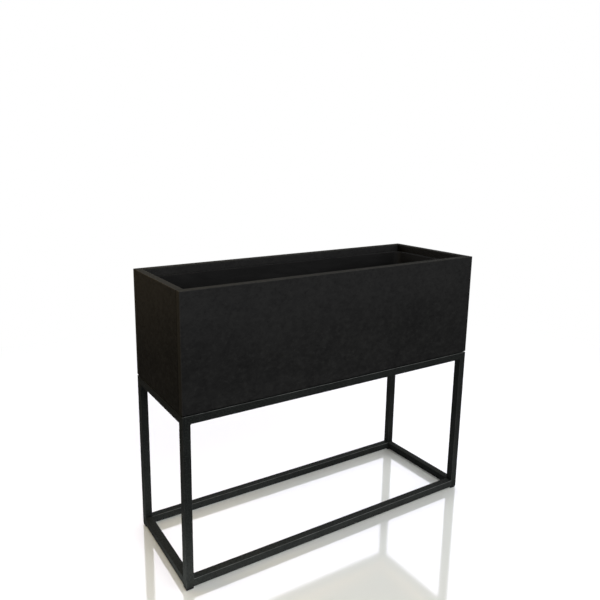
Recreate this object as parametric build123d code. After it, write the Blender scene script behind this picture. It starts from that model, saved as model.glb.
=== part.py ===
"""Raised planter: a board trough on rubber pads over a welded square-tube stand.

The trough lifts off the stand, the plastic liner lifts out of the trough and a
rubber bung closes the liner's drain.  Millimetres.  The origin is on the ground
at the middle of the footprint; +X runs along the planter to its right end, +Y
to its back and +Z up.
"""

from build123d import *
import os

os.makedirs("parts", exist_ok=True)

# ---------------------------------------------------------------- whole object
length = 900.0  # over the trough and over the legs
depth = 300.0  # front to back
stand_height = 436.0  # ground to the top of the top rails
trough_height = 282.0  # bottom edge to rim of the trough's walls

# ----------------------------------------------------------------------- stand
tube = 20.0  # outside width of the square tube
tube_wall = 1.5
tube_corner = 2.0  # outside corner radius of the tube
least_bore_corner = 0.5  # inside corner radius of the tube, at least
cap_thickness = 2.0  # steel plate welded into the top of each leg
foot_height = 6.0  # head of the plastic foot, below the tube's end
foot_chamfer = 1.5
foot_edge = 0.25  # how far the head stays inside the tube's outline
shank_length = 16.0  # part of the foot inside the tube
shank_rib = 1.2  # thickness of each rib round the shank
shank_ribs = 4
shank_core_gap = 1.6  # from the shank's core to the tube's inner face
shank_clearance = 0.05  # rib to tube, each side

# ---------------------------------------------------------------- trough walls
board = 18.0  # thickness of the four walls
arris = 1.0  # eased edge radius
dowel_diameter = 6.0
dowel_in_end = 20.0  # dowel length inside the end wall
dowel_in_long = 12.0  # dowel length inside the front or rear wall
dowel_rows = 4
dowel_margin = 40.0  # from the wall's edge to the outer dowels
dowel_clearance = 0.05
dowel_end_gap = 1.0  # space for glue beyond each end of a dowel

# --------------------------------------------------------------- trough bottom
floor_thickness = 12.0
floor_clearance = 0.5  # floor to walls, each side
cleat_width = 18.0
cleat_height = 30.0
cleat_clearance = 0.5  # cleat ends to what they meet
pad_thickness = 3.0  # open shadow gap between trough and stand
pad_diameter = 12.0
pad_margin = 60.0  # from the end of the trough to the outer pads
block_size = 28.0  # side of the square locating block
block_clearance = 1.0  # block to the inside of the top rails
block_reach = 8.0  # how far a block reaches down between the rails
block_chamfer = 2.0

# ---------------------------------------------------------------------- screws
screw_head = 7.6  # head diameter
screw_shank = 3.8
screw_point = 4.0  # length of the pointed end
screw_clearance = 0.05
screw_cover = 6.0  # board left beyond a screw's point
screw_recess = 1.2  # width of the cross recess
screw_recess_depth = 1.8
cleat_screw_pitch = 186.0
cleat_screw_margin = 60.0

# ----------------------------------------------------------------------- liner
liner_wall = 2.5
liner_rim_drop = 20.0  # from the trough's rim down to the liner's rim
liner_clearance = 3.0  # liner flange to the walls, each side
liner_flange = 8.0  # flange width outside the liner's wall
liner_lip = 7.0  # depth of the flange's turned-down edge
liner_draft = 7.0  # how much each wall leans in from rim to floor
liner_corner = 24.0  # outside corner radius at the rim
liner_rib_height = 5.0  # standing ribs that keep pots out of the water
liner_rib_width = 6.0
liner_rib_pitch = 120.0
liner_rib_margin = 45.0  # from a liner wall to the nearest rib, at the floor
liner_rib_end_gap = 15.0  # rib ends to the liner's long walls
liner_floor_radius = 3.0  # inside, where the walls turn into the floor
drain_diameter = 14.0

# ----------------------------------------------------------------- drain bung
bung_head_diameter = 22.0
bung_head_height = 3.5
bung_stem_length = 7.0
bung_clearance = 0.3  # bung to the liner, all round
bung_stem_taper = 1.0  # how much narrower the stem's tip is, in radius
bung_tab = (3.0, 10.0, 9.0)  # pull tab: thickness, width, height
drain_access_diameter = 34.0  # hole through the trough's floor, below the drain

# --------------------------------------------------------- levels, from ground
leg_foot = foot_height
leg_top = stand_height - cap_thickness
wall_bottom = stand_height + pad_thickness
wall_top = wall_bottom + trough_height
floor_bottom = wall_bottom + cleat_height
floor_top = floor_bottom + floor_thickness
liner_rim = wall_top - liner_rim_drop
liner_floor = floor_top + liner_wall

# ------------------------------------------------------------- plan half-sizes
half_length = length / 2
half_depth = depth / 2
inner_half_length = half_length - board
inner_half_depth = half_depth - board
rail_inner_half_length = half_length - tube
rail_inner_half_depth = half_depth - tube

SIDES = {"left": -1, "right": 1}
FACES = {"front": -1, "rear": 1}
CORNERS = {f"{face}_{side}": (x, y) for face, y in FACES.items() for side, x in SIDES.items()}

STANDING = (Align.CENTER, Align.CENTER, Align.MIN)


def spread(span, count):
    """Evenly spaced places over a span that is centred on zero, ends included."""
    return [span * (i / (count - 1) - 0.5) for i in range(count)]


def middles(places):
    """The place halfway between each pair of neighbours."""
    return [(a + b) / 2 for a, b in zip(places, places[1:])]


# ---------------------------------------------------------------- screw layout
cleat_screw_length = cleat_width + board - screw_cover
floor_screw_length = floor_thickness + cleat_height - 2 * screw_cover
block_height = pad_thickness + block_reach
block_screw_length = block_height + cleat_height - 2 * screw_cover
screw_span = 2 * (inner_half_length - cleat_screw_margin)
screw_columns = spread(screw_span, max(2, round(screw_span / cleat_screw_pitch) + 1))
end_screw_span = 2 * (inner_half_depth - cleat_width - cleat_screw_margin)


# ---------------------------------------------------------------- liner layout
liner_top_length = 2 * (inner_half_length - liner_clearance - liner_flange)
liner_top_depth = 2 * (inner_half_depth - liner_clearance - liner_flange)
liner_rise = liner_rim - floor_top
liner_floor_half_length = liner_top_length / 2 - liner_draft - liner_wall
liner_floor_half_depth = liner_top_depth / 2 - liner_draft - liner_wall
rib_span = 2 * (liner_floor_half_length - liner_rib_margin)
rib_places = spread(rib_span, max(2, round(rib_span / liner_rib_pitch) + 1))
drain_x = middles(rib_places)[-1]


# ------------------------------------------------------------------- the stand
tube_bore = tube - 2 * tube_wall
bore_corner = max(tube_corner - tube_wall, least_bore_corner)


def square_tube(run):
    """Square tube standing on the origin, centred on Z."""
    section = RectangleRounded(tube, tube, tube_corner)
    section -= RectangleRounded(tube_bore, tube_bore, bore_corner)
    return extrude(section, run)


def leg(x_side, y_side):
    place = Pos(x_side * (half_length - tube / 2), y_side * (half_depth - tube / 2), leg_foot)
    return place * square_tube(leg_top - leg_foot)


def leg_cap(x_side, y_side):
    """Plate that closes the top of a leg, ground flush with the rails."""
    plate = extrude(RectangleRounded(tube, tube, tube_corner), cap_thickness)
    return Pos(x_side * (half_length - tube / 2), y_side * (half_depth - tube / 2), leg_top) * plate


def long_rail(y_side, level):
    """Rail between two legs along X; level is its underside."""
    run = 2 * rail_inner_half_length
    place = Pos(-run / 2, y_side * (half_depth - tube / 2), level + tube / 2)
    return place * Rot(0, 90, 0) * square_tube(run)


def cross_rail(x_side, level):
    """Rail between two legs along Y; level is its underside."""
    run = 2 * rail_inner_half_depth
    place = Pos(x_side * (half_length - tube / 2), -run / 2, level + tube / 2)
    return place * Rot(-90, 0, 0) * square_tube(run)


def foot(x_side, y_side):
    """Plastic foot: a chamfered head and a ribbed shank pushed into the leg."""
    head_width = tube - 2 * foot_edge
    head = extrude(RectangleRounded(head_width, head_width, tube_corner), foot_height)
    head = chamfer(head.edges().group_by(Axis.Z)[0], foot_chamfer)
    core_width = tube_bore - 2 * shank_core_gap
    shank = Pos(0, 0, foot_height) * Box(core_width, core_width, shank_length, align=STANDING)
    rib_width = tube_bore - 2 * shank_clearance
    rib = extrude(RectangleRounded(rib_width, rib_width, bore_corner + shank_clearance), shank_rib)
    rib_pitch = (shank_length - shank_rib) / shank_ribs
    body = head + shank
    for i in range(shank_ribs):
        body += Pos(0, 0, foot_height + (i + 0.5) * rib_pitch) * rib
    return Pos(x_side * (half_length - tube / 2), y_side * (half_depth - tube / 2), 0) * body


# ------------------------------------------------------------------ fastenings
def turned(points):
    """Solid of revolution about Z from (radius, height) points on and off the axis."""
    return revolve(Plane.XZ * make_face(Polyline(*points, close=True)), Axis.Z)


def wood_screw(run):
    """Countersunk screw, head at the origin, point down."""
    head_radius = screw_head / 2
    radius = screw_shank / 2
    screw = turned([
        (0, 0), (head_radius, 0), (radius, radius - head_radius),
        (radius, screw_point - run), (0, -run),
    ])
    arm = Box(screw_head / 2, screw_recess, 2 * screw_recess_depth)
    return screw - arm - Rot(0, 0, 90) * arm


def screw_hole(run):
    """What a screw of this length cuts from the pieces that it joins."""
    head_radius = screw_head / 2 + screw_clearance
    radius = screw_shank / 2 + screw_clearance
    return turned([
        (0, 0), (head_radius, 0), (radius, radius - head_radius),
        (radius, screw_point - run), (0, -run - screw_clearance),
    ])


def cleat_screw_places():
    """Screws that hold the cleats to the walls, from inside the trough."""
    level = wall_bottom + cleat_height / 2
    places = []
    for x in screw_columns:
        for y_side in FACES.values():
            y = y_side * (inner_half_depth - cleat_width)
            places.append(Pos(x, y, level) * Rot(y_side * 90, 0, 0))
    for y in spread(end_screw_span, 2):
        for x_side in SIDES.values():
            x = x_side * (inner_half_length - cleat_width)
            places.append(Pos(x, y, level) * Rot(0, -x_side * 90, 0))
    return places


def floor_screw_places():
    """Screws down through the floor, midway between the cleat screws."""
    y = inner_half_depth - cleat_width / 2
    return [Pos(x, y_side * y, floor_top)
            for x in middles(screw_columns) for y_side in FACES.values()]


def block_centre(x_side, y_side):
    reach = block_clearance + block_size / 2
    return x_side * (rail_inner_half_length - reach), y_side * (rail_inner_half_depth - reach)


def block_screw_places():
    """Screws up through the locating blocks into the long cleats."""
    places = []
    for x_side, y_side in CORNERS.values():
        x, _ = block_centre(x_side, y_side)
        y = y_side * (inner_half_depth - cleat_width / 2)
        places.append(Pos(x, y, wall_bottom - block_height) * Rot(180, 0, 0))
    return places


def screws(places, run):
    return Compound([place * wood_screw(run) for place in places])


def drilled(piece, places, run):
    """The piece with the hole of every screw that passes into it."""
    box = piece.bounding_box()
    for place in places:
        hole = place * screw_hole(run)
        span = hole.bounding_box()
        if (span.max.X > box.min.X and span.min.X < box.max.X
                and span.max.Y > box.min.Y and span.min.Y < box.max.Y
                and span.max.Z > box.min.Z and span.min.Z < box.max.Z):
            piece -= hole
    return piece


# -------------------------------------------------------- the corner's dowels
def dowel_places():
    """Where each dowel crosses a joint, its +Z pointing into the end wall."""
    levels = spread(trough_height - 2 * dowel_margin, dowel_rows)
    middle = wall_bottom + trough_height / 2
    x = half_length - board / 2
    return [Pos(x_side * x, y_side * inner_half_depth, middle + z) * Rot(y_side * 90, 0, 0)
            for z in levels for x_side, y_side in CORNERS.values()]


def rod(radius, into_end, into_long):
    return Pos(0, 0, -into_long) * Cylinder(radius, into_end + into_long, align=STANDING)


def corner_dowels():
    stick = rod(dowel_diameter / 2, dowel_in_end, dowel_in_long)
    return Compound([place * stick for place in dowel_places()])


def dowelled(wall):
    """The wall with its blind dowel holes."""
    hole = rod(dowel_diameter / 2 + dowel_clearance,
               dowel_in_end + dowel_end_gap, dowel_in_long + dowel_end_gap)
    for place in dowel_places():
        wall -= place * hole
    return wall


# ------------------------------------------------------------ the trough walls
def rim_arris(run):
    """What easing an inner rim edge removes: the edge lies on Y through the origin."""
    corner = Rectangle(arris, arris, align=(Align.MIN, Align.MAX)) - Pos(arris, -arris) * Circle(arris)
    return extrude(Plane.XZ * corner, run / 2, both=True)


def long_wall(y_side):
    """Front or rear wall: it runs the whole length and covers the end walls' ends."""
    wall = Box(length, board, trough_height)
    outside = wall.faces().sort_by(Axis.Y)[-1 if y_side > 0 else 0]
    end_arrises = wall.edges().filter_by(Axis.Y)
    wall = fillet(set(outside.edges() + end_arrises), arris)
    inner_edge = Pos(0, -y_side * board / 2, trough_height / 2) * Rot(0, 0, y_side * 90)
    wall -= inner_edge * rim_arris(2 * inner_half_length)
    wall = Pos(0, y_side * (half_depth - board / 2), wall_bottom + trough_height / 2) * wall
    wall = dowelled(wall)
    return drilled(wall, cleat_screw_places(), cleat_screw_length)


def end_wall(x_side):
    """Left or right wall, butted between the long walls."""
    wall = Box(board, 2 * inner_half_depth, trough_height)
    outside = wall.faces().sort_by(Axis.X)[-1 if x_side > 0 else 0]
    wall = fillet(outside.edges().filter_by(Axis.Y), arris)
    inner_edge = Pos(-x_side * board / 2, 0, trough_height / 2) * Rot(0, 0, 0 if x_side > 0 else 180)
    wall -= inner_edge * rim_arris(2 * inner_half_depth)
    wall = Pos(x_side * (half_length - board / 2), 0, wall_bottom + trough_height / 2) * wall
    wall = dowelled(wall)
    return drilled(wall, cleat_screw_places(), cleat_screw_length)


# ----------------------------------------------------------- the trough bottom
def long_cleat(y_side):
    run = 2 * (inner_half_length - cleat_clearance)
    bar = Box(run, cleat_width, cleat_height)
    place = Pos(0, y_side * (inner_half_depth - cleat_width / 2), wall_bottom + cleat_height / 2)
    return place * bar


def end_cleat(x_side):
    run = 2 * (inner_half_depth - cleat_width - cleat_clearance)
    bar = Box(cleat_width, run, cleat_height)
    place = Pos(x_side * (inner_half_length - cleat_width / 2), 0, wall_bottom + cleat_height / 2)
    return place * bar


def fixed_cleat(cleat):
    """A cleat with the holes of the screws that pass through or into it."""
    cleat = drilled(cleat, cleat_screw_places(), cleat_screw_length)
    cleat = drilled(cleat, floor_screw_places(), floor_screw_length)
    return drilled(cleat, block_screw_places(), block_screw_length)


def floor_board():
    size_x = 2 * (inner_half_length - floor_clearance)
    size_y = 2 * (inner_half_depth - floor_clearance)
    panel = Pos(0, 0, floor_bottom) * Box(size_x, size_y, floor_thickness, align=STANDING)
    panel -= Pos(drain_x, 0, floor_bottom) * Cylinder(
        drain_access_diameter / 2, floor_thickness, align=STANDING)
    return drilled(panel, floor_screw_places(), floor_screw_length)


def locating_block(x_side, y_side):
    """Block under the cleats that drops between the top rails and keeps the trough in place."""
    x, y = block_centre(x_side, y_side)
    block = Box(block_size, block_size, block_height)
    block = chamfer(block.edges().group_by(Axis.Z)[0], block_chamfer)
    block = Pos(x, y, wall_bottom - block_height / 2) * block
    return drilled(block, block_screw_places(), block_screw_length)


def rest_pads():
    """Rubber pads under the long walls, on the middle of the top rails."""
    y = half_depth - min(tube, board) / 2
    pad = Cylinder(pad_diameter / 2, pad_thickness, align=STANDING)
    return Compound([Pos(x, y_side * y, stand_height) * pad
                     for x in spread(length - 2 * pad_margin, 3) for y_side in FACES.values()])


# ------------------------------------------------------------------- the liner
def tapered_tub(inset, bottom):
    """Solid with the liner's leaning walls moved in by inset, from bottom to the rim."""
    def section(level):
        lean = liner_draft * (liner_rim - level) / liner_rise
        shrink = 2 * (inset + lean)
        radius = max(liner_corner - inset - lean, liner_wall)
        size = (liner_top_length - shrink, liner_top_depth - shrink)
        return Pos(0, 0, level) * RectangleRounded(*size, radius)

    return loft([section(bottom), section(liner_rim)])


def rim_ring(outside, height):
    """Ring under the rim level that reaches this far outside the liner's wall."""
    radius = liner_corner + outside
    size = (liner_top_length + 2 * outside, liner_top_depth + 2 * outside)
    return Pos(0, 0, liner_rim - height) * extrude(RectangleRounded(*size, radius), height)


def liner_tub():
    """Moulded liner: leaning walls, turned-down rim flange and ribs across its floor."""
    flange = rim_ring(liner_flange, liner_lip) - rim_ring(liner_flange - liner_wall, liner_lip)
    flange += rim_ring(liner_flange, liner_wall)
    outside = tapered_tub(0, floor_top)
    outside = fillet(outside.edges().group_by(Axis.Z)[0], liner_floor_radius + liner_wall)
    inside = tapered_tub(liner_wall, liner_floor)
    inside = fillet(inside.edges().group_by(Axis.Z)[0], liner_floor_radius)
    tub = flange + outside - inside
    rib_run = 2 * (liner_floor_half_depth - liner_rib_end_gap)
    rib = Box(liner_rib_width, rib_run, liner_rib_height, align=STANDING)
    for x in rib_places:
        tub += Pos(x, 0, liner_floor) * rib
    tub -= Pos(drain_x, 0, floor_top) * Cylinder(
        drain_diameter / 2, liner_wall + liner_rib_height, align=STANDING)
    return tub


def drain_bung():
    """Rubber bung with a pull tab, pushed into the drain from above."""
    head_seat = liner_floor + bung_clearance
    stem_radius = drain_diameter / 2 - bung_clearance
    tip_radius = stem_radius - bung_stem_taper
    bung = turned([
        (0, bung_head_height), (bung_head_diameter / 2, bung_head_height),
        (bung_head_diameter / 2, 0), (stem_radius, 0),
        (tip_radius, -bung_stem_length), (0, -bung_stem_length),
    ])
    tab = Pos(0, 0, bung_head_height) * Box(*bung_tab, align=STANDING)
    return Pos(drain_x, 0, head_seat) * (bung + tab)


# -------------------------------------------------------------------- assembly
def make_nodes():
    nodes = {}
    for name, (x_side, y_side) in CORNERS.items():
        nodes[f"leg_{name}"] = leg(x_side, y_side)
        nodes[f"leg_cap_{name}"] = leg_cap(x_side, y_side)
        nodes[f"foot_{name}"] = foot(x_side, y_side)
        nodes[f"locating_block_{name}"] = locating_block(x_side, y_side)
    for name, y_side in FACES.items():
        nodes[f"top_rail_{name}"] = long_rail(y_side, stand_height - tube)
        nodes[f"bottom_rail_{name}"] = long_rail(y_side, leg_foot)
        nodes[f"{name}_wall"] = long_wall(y_side)
        nodes[f"cleat_{name}"] = fixed_cleat(long_cleat(y_side))
    for name, x_side in SIDES.items():
        nodes[f"top_rail_{name}"] = cross_rail(x_side, stand_height - tube)
        nodes[f"bottom_rail_{name}"] = cross_rail(x_side, leg_foot)
        nodes[f"{name}_end_wall"] = end_wall(x_side)
        nodes[f"cleat_{name}"] = fixed_cleat(end_cleat(x_side))
    nodes["corner_dowels"] = corner_dowels()
    nodes["cleat_screws"] = screws(cleat_screw_places(), cleat_screw_length)
    nodes["floor_screws"] = screws(floor_screw_places(), floor_screw_length)
    nodes["block_screws"] = screws(block_screw_places(), block_screw_length)
    nodes["rest_pads"] = rest_pads()
    nodes["floor_board"] = floor_board()
    nodes["liner_tub"] = liner_tub()
    nodes["drain_bung"] = drain_bung()
    return nodes


for node, shape in make_nodes().items():
    export_step(shape, f"parts/{node}.step")
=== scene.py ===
"""Looks of the raised planter: a charcoal board trough, its lift-out liner and a welded steel stand.

Everything is in metres in the part's own frame: the origin is on the ground at the middle of
the footprint, +X runs along the planter, +Y to its back and +Z up.
"""

import math

import bmesh
import bpy
from mathutils import Matrix, Vector


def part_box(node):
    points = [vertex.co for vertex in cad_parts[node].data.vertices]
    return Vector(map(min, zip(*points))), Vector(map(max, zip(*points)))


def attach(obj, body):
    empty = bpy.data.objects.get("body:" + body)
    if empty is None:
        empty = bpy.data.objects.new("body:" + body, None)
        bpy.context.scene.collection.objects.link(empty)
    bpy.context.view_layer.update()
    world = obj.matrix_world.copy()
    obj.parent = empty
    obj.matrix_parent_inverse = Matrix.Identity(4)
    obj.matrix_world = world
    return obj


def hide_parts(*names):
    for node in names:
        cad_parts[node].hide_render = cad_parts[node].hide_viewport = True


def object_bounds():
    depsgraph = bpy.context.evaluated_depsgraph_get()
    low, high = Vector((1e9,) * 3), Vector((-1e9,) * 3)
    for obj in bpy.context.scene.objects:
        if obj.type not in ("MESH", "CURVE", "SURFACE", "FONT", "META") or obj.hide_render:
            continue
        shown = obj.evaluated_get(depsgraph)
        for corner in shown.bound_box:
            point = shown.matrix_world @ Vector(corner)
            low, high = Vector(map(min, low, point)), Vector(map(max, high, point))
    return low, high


MM = 0.001
SIDES = {"left": -1, "right": 1}
FACES = {"front": -1, "rear": 1}

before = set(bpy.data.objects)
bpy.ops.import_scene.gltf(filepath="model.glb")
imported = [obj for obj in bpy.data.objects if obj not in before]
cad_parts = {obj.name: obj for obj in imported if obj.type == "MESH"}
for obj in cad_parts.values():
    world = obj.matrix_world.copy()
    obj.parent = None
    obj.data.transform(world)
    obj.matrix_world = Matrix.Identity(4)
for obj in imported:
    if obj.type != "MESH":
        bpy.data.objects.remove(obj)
cad_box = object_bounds()

# ---- sizes read from the frame
HALF_LENGTH, HALF_DEPTH, RIM = cad_box[1]
LEG_LOW, LEG_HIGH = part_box("leg_front_left")
CAP_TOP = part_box("leg_cap_front_left")[1].z
TUBE = LEG_HIGH.x - LEG_LOW.x
LEG_FOOT = LEG_LOW.z
WALL_LOW, WALL_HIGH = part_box("front_wall")
END_LOW, END_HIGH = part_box("left_end_wall")
BOARD = END_HIGH.x - END_LOW.x
LINER_LOW, LINER_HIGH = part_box("liner_tub")


def bore_width():
    """Inside width of the stand's square tube, as the leg's own solid has it."""
    middle = (LEG_LOW + LEG_HIGH) / 2
    reaches = [max(abs(vert.co.x - middle.x), abs(vert.co.y - middle.y))
               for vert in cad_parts["leg_front_left"].data.vertices]
    return 2 * max(reach for reach in reaches if reach < TUBE / 2 - MM)


TUBE_BORE = bore_width()

# ---- sizes of the finish
TOUCH = 0.05 * MM
MERGED_WITHIN = 0.001 * MM

TUBE_CORNER = 1.2 * MM
ROUND_STEPS = 5
ARRIS = 1.1 * MM
SEAM = 0.6 * MM
ARRIS_STEPS = 4

WELD_LEG = 1.7 * MM
WELD_RIPPLE = 0.9 * MM
WELD_SEED = 4
RIPPLE_LEAST = (0.42, 0.8, 0.8)
RIPPLE_MOST = (0.6, 1.0, 1.0)

LINER_WALL = 2.5 * MM
LINER_FLANGE = 8.0 * MM
LINER_LIP = 7.0 * MM
LINER_DRAFT = 7.0 * MM
LINER_CORNER = 24.0 * MM
LINER_ROLL = 1.1 * MM
LINER_SOFT = 0.4 * MM
LINER_FOOT_TURN = 5.5 * MM
LINER_FLOOR_TURN = 3.0 * MM
CORNER_STEPS = 10

RIB_SINK = 1.5 * MM
RIB_ROUND = 1.4 * MM
RIB_ROUND_STEPS = 4
RIB_POINTS = 81
RIB_TALLEST = 12.0 * MM

BUNG_HEAD = 3.5 * MM
BUNG_STEM = 6.7 * MM
BUNG_TIP = 5.7 * MM
BUNG_ROUND = 0.6 * MM
BUNG_DISH = (6.6 * MM, 0.4 * MM)
TAB_HALF = (1.5 * MM, 5.0 * MM)
TAB_EYE = 2.1 * MM
TAB_SQUARENESS = 0.6
TURN_STEPS = 48

SCREW_RECESS = 1.2 * MM
SCREW_RECESS_DEPTH = 1.8 * MM
SCREW_RECESS_REACH = 1.15
SCREW_POINT = 4.0 * MM
SCREW_TIP = 0.05 * MM
SCREW_STEPS = 28

# Worn and highlit, sawn and lit-rim, and seam masks of the board: where each starts and where it is full.
ARRIS_WEAR_AND_HIGHLIGHT = (3.2 * MM, 0.4 * MM)
CORNER_WEAR_AND_HIGHLIGHT = (2.4 * MM, 0.4 * MM)
CORNER_WEAR_AND_HIGHLIGHT_SHARE = 0.6
SAWN_AND_LIT_RIM_BELOW = (0.5 * MM, 0.2 * MM)
SAWN_BLUR = 0.2 * MM
SAWN_END_SHARE = 0.55
SEAM_BESIDE = (1.3 * MM, 0.4 * MM)
# The stand's ground welds: where that mask starts and is full, in tube widths from a corner.
GROUND_JOINT = (1.9, 0.9)

# ---- the studio
LENS = 35.0
SENSOR = 36.0
LENS_SHIFT = (0.08, -0.0433)
NEAREST_SEEN = 0.05
CAMERA_PLACE = (-0.9082, -1.264, 0.9961)
CAMERA_HEADING = math.radians(29.68)
CAMERA_TILT = math.radians(-11.246)

WHITE = (1, 1, 1, 1)
FLOOR_REACH = 12.0
FLOOR_MATT = (0.96, 0.975, 0.92, 1)
FLOOR_GLOSS = (0.43, 0.42, 0.49, 1)
FLOOR_ROUGHNESS = 0.075

TENT_LEVEL = 0.02
TENT_LOW = (1.0, 1.0, 1.01, 1)
TENT_HIGH = (1.0, 1.01, 1.05, 1)
GLOW_SPREAD = (0.45, 0.95)
GLOWS = {"front": ((0.2, -1.0, 0.05), 0.88), "upper front right": ((0.5, -0.35, 0.8), 0.3),
         "back": ((0, 1, 0), 2.0), "right": ((1, 0, 0), 1.8)}


# ---- scene helpers
def placed(name, data):
    """A new object in the scene."""
    item = bpy.data.objects.new(name, data)
    bpy.context.scene.collection.objects.link(item)
    return item


def aim_camera():
    """Looks a little down on the planter from off its front left corner, above the rim."""
    data = bpy.data.cameras.new("studio_camera")
    data.lens = LENS
    data.sensor_width = SENSOR
    data.shift_x, data.shift_y = LENS_SHIFT
    data.clip_start = NEAREST_SEEN
    camera = placed("studio_camera", data)
    camera.location = CAMERA_PLACE
    camera.rotation_euler = (math.pi / 2 + CAMERA_TILT, 0, -CAMERA_HEADING)
    bpy.context.scene.camera = camera


# ---- node helpers
class Wires:
    """Builds a node tree one call at a time."""

    def __init__(self, tree):
        self.tree = tree

    def join(self, socket, value):
        if isinstance(value, bpy.types.NodeSocket):
            self.tree.links.new(value, socket)
        else:
            socket.default_value = value

    def add(self, kind, settings=None, inputs=None):
        """A node with these settings; inputs go by name or by number."""
        node = self.tree.nodes.new(kind)
        for name, value in (settings or {}).items():
            setattr(node, name, value)
        for key, value in (inputs or {}).items():
            self.join(node.inputs[key], value)
        return node

    def made(self, kind, settings=None, inputs=None):
        """The first output of a new node."""
        return self.add(kind, settings, inputs).outputs[0]

    # Numbers and vectors.
    def math(self, operation, a, b=0.0, clamp=False):
        return self.made("ShaderNodeMath", {"operation": operation, "use_clamp": clamp}, {0: a, 1: b})

    def plus(self, a, b):
        return self.math("ADD", a, b)

    def minus(self, a, b):
        return self.math("SUBTRACT", a, b)

    def times(self, a, b):
        return self.math("MULTIPLY", a, b)

    def larger(self, a, b):
        return self.math("MAXIMUM", a, b)

    def smaller(self, a, b):
        return self.math("MINIMUM", a, b)

    def hypot(self, a, b):
        return self.math("SQRT", self.plus(self.times(a, a), self.times(b, b)))

    def mix(self, factor, a, b):
        """A number between a and b."""
        return self.made("ShaderNodeMix", {"data_type": "FLOAT"}, {0: factor, 2: a, 3: b})

    def fade(self, value, start, stop, low=0.0, high=1.0):
        """Value mapped smoothly from start..stop onto low..high."""
        return self.made("ShaderNodeMapRange", {"interpolation_type": "SMOOTHSTEP"},
                         {"Value": value, "From Min": start, "From Max": stop,
                          "To Min": low, "To Max": high})

    def vector(self, x=0.0, y=0.0, z=0.0):
        return self.made("ShaderNodeCombineXYZ", None, {0: x, 1: y, 2: z})

    def split(self, vector):
        """The X, Y and Z of a vector."""
        return self.add("ShaderNodeSeparateXYZ", None, {0: vector}).outputs

    def unsigned(self, vector):
        """A vector with every part made positive, as the planter is alike on both sides."""
        return self.made("ShaderNodeVectorMath", {"operation": "ABSOLUTE"}, {0: vector})

    # Looks.
    def coordinates(self, kind):
        return self.add("ShaderNodeTexCoord").outputs[kind]

    def noise(self, place, scale, detail=3.0, roughness=0.55, distortion=0.0):
        """Noise with so many clumps to the metre; three scales stretch it along X, Y and Z."""
        if isinstance(scale, tuple):
            place = self.made("ShaderNodeMapping", None, {"Vector": place, "Scale": scale})
            scale = 1.0
        node = self.add("ShaderNodeTexNoise", {"noise_dimensions": "3D"},
                        {"Vector": place, "Scale": scale, "Detail": detail,
                         "Roughness": roughness, "Distortion": distortion})
        return node.outputs["Fac"]

    def blend(self, factor, a, b):
        """A colour between a and b."""
        return self.add("ShaderNodeMix", {"data_type": "RGBA"}, {0: factor, 6: a, 7: b}).outputs[2]

    def layered(self, base, layers, tones):
        """A base colour with the named layers laid over it in turn, each by its share."""
        for name, share in layers.items():
            base = self.blend(share, base, tones[name])
        return base

    def bump(self, height, distance, strength, under=None):
        inputs = {"Strength": strength, "Distance": distance, "Height": height}
        if under is not None:
            inputs["Normal"] = under
        return self.made("ShaderNodeBump", None, inputs)

    def surface(self, shader, colour, roughness, normal):
        """Joins a surface shader to its colour, roughness and relief."""
        for name, value in (("Base Color", colour), ("Roughness", roughness), ("Normal", normal)):
            self.join(shader.inputs[name], value)

    # Shapes.
    def line(self, start, stop):
        return self.made("GeometryNodeCurvePrimitiveLine", None, {"Start": start, "End": stop})

    def swept(self, path, profile, scale=1.0):
        """A capped solid with this profile along a path."""
        return self.made("GeometryNodeCurveToMesh", None,
                         {"Curve": path, "Profile Curve": profile, "Scale": scale, "Fill Caps": True})

    def cut(self, body, *tools):
        """A solid less the tools' solids."""
        node = self.add("GeometryNodeMeshBoolean", {"operation": "DIFFERENCE", "solver": "EXACT"},
                        {"Mesh 1": body})
        for tool in tools:
            self.join(node.inputs["Mesh 2"], tool)
        return node.outputs[0]

    def repeated(self, points, shape, more=None):
        """The shape at each point."""
        return self.made("GeometryNodeInstanceOnPoints", None,
                         {"Points": points, "Instance": shape, **(more or {})})

    def aligned(self, axis, vector):
        """The rotation that turns an axis to this vector."""
        return self.made("FunctionNodeAlignRotationToVector", {"axis": axis}, {"Vector": vector})

    def stored(self, name, kind):
        """A value kept on the points under this name."""
        return self.made("GeometryNodeInputNamedAttribute", {"data_type": kind}, {"Name": name})


def tone(*values):
    """An sRGB colour, 0 to 255, as the linear colour that a socket holds."""
    values = values if len(values) == 3 else values * 3
    linear = []
    for value in values:
        share = value / 255
        linear.append(share / 12.92 if share <= 0.04045 else ((share + 0.055) / 1.055) ** 2.4)
    return (*linear, 1.0)


def new_material(name, specular):
    """A material, its node builder, its object coordinates and its surface shader."""
    material = bpy.data.materials.new(name)
    material.use_nodes = True
    wires = Wires(material.node_tree)
    shader = material.node_tree.nodes["Principled BSDF"]
    shader.inputs["Specular IOR Level"].default_value = specular
    return material, wires, wires.coordinates("Object"), shader


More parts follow.
